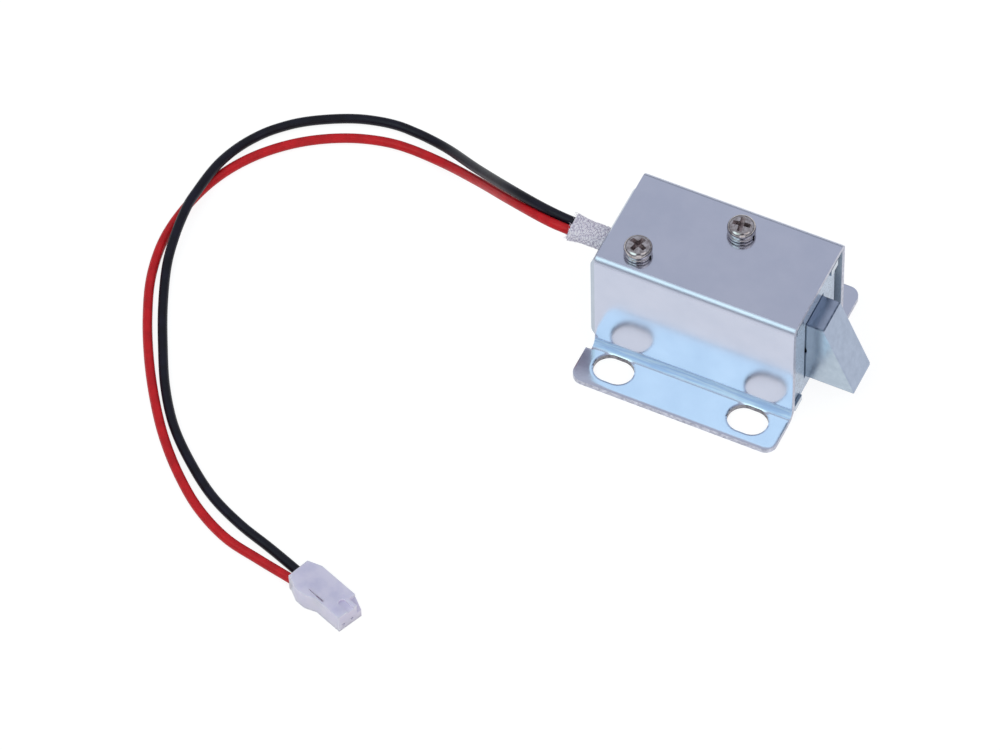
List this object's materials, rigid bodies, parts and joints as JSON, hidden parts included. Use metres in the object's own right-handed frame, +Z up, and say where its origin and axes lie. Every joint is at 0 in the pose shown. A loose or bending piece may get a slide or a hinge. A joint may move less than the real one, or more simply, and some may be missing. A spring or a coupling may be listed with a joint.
{
  "type": "solenoid lock",
  "caption": "Small solenoid lock: a spring-loaded slanted bolt in a coil frame under a bent zinc-plated bracket with slotted flanges, and leads that end in a plug",
  "frame": {"origin": "middle of the box round the lock itself, without its leads, on the underside of the flanges", "axes": "+X along the bolt, out of the lock; +Z up from the flanges to the bracket's top"},
  "size_m": [0.1371, 0.1117, 0.0305],
  "materials": {
    "zinc_plate": "bright blue-white zinc plate on bent steel sheet",
    "zinc_frame": "zinc plate, slightly duller",
    "bolt_steel": "zinc-plated block, satin",
    "nickel": "bright nickel plate",
    "pure_iron": "turned soft iron",
    "spring_steel": "drawn spring wire",
    "brass": "drawn brass",
    "white_nylon": "moulded natural nylon",
    "black_rubber": "soft black rubber",
    "copper_enamel": "enamelled copper wire",
    "yellow_tape": "polyester tape",
    "glass_braid": "white braided glass-fibre sleeve",
    "black_wire": "black wire insulation",
    "red_wire": "red wire insulation",
    "plug_nylon": "milky moulded nylon",
    "tin": "tinned contact strip"
  },
  "bodies": {
    "lock_body": {"mounting_bracket": "zinc_plate", "screw_left": "nickel", "screw_right": "nickel", "lock_washer_left": "nickel", "lock_washer_right": "nickel", "solenoid_frame": "zinc_frame", "end_plate": "zinc_frame", "return_spring": "spring_steel", "spring_seat": "nickel", "pole_core": "pure_iron", "residual_washer": "brass", "guide_tube": "brass", "bobbin": "white_nylon", "coil_winding": "copper_enamel", "coil_tape": "yellow_tape", "lead_sleeve": "glass_braid", "wire_black": "black_wire", "wire_red": "red_wire", "plug_housing": "plug_nylon", "contact_black": "tin", "contact_red": "tin"},
    "bolt_body": {"bolt": "bolt_steel", "bolt_pin": "nickel", "stop_cushion": "black_rubber", "plunger": "pure_iron"}
  },
  "joints": [
    {"name": "bolt_slide", "type": "slide", "parent": "lock_body", "child": "bolt_body", "axis": [-1, 0, 0], "range_m": [0, 0.009], "stiffness_N_per_m": 80, "springref_m": -0.008, "deforming": ["return_spring"]}
  ]
}
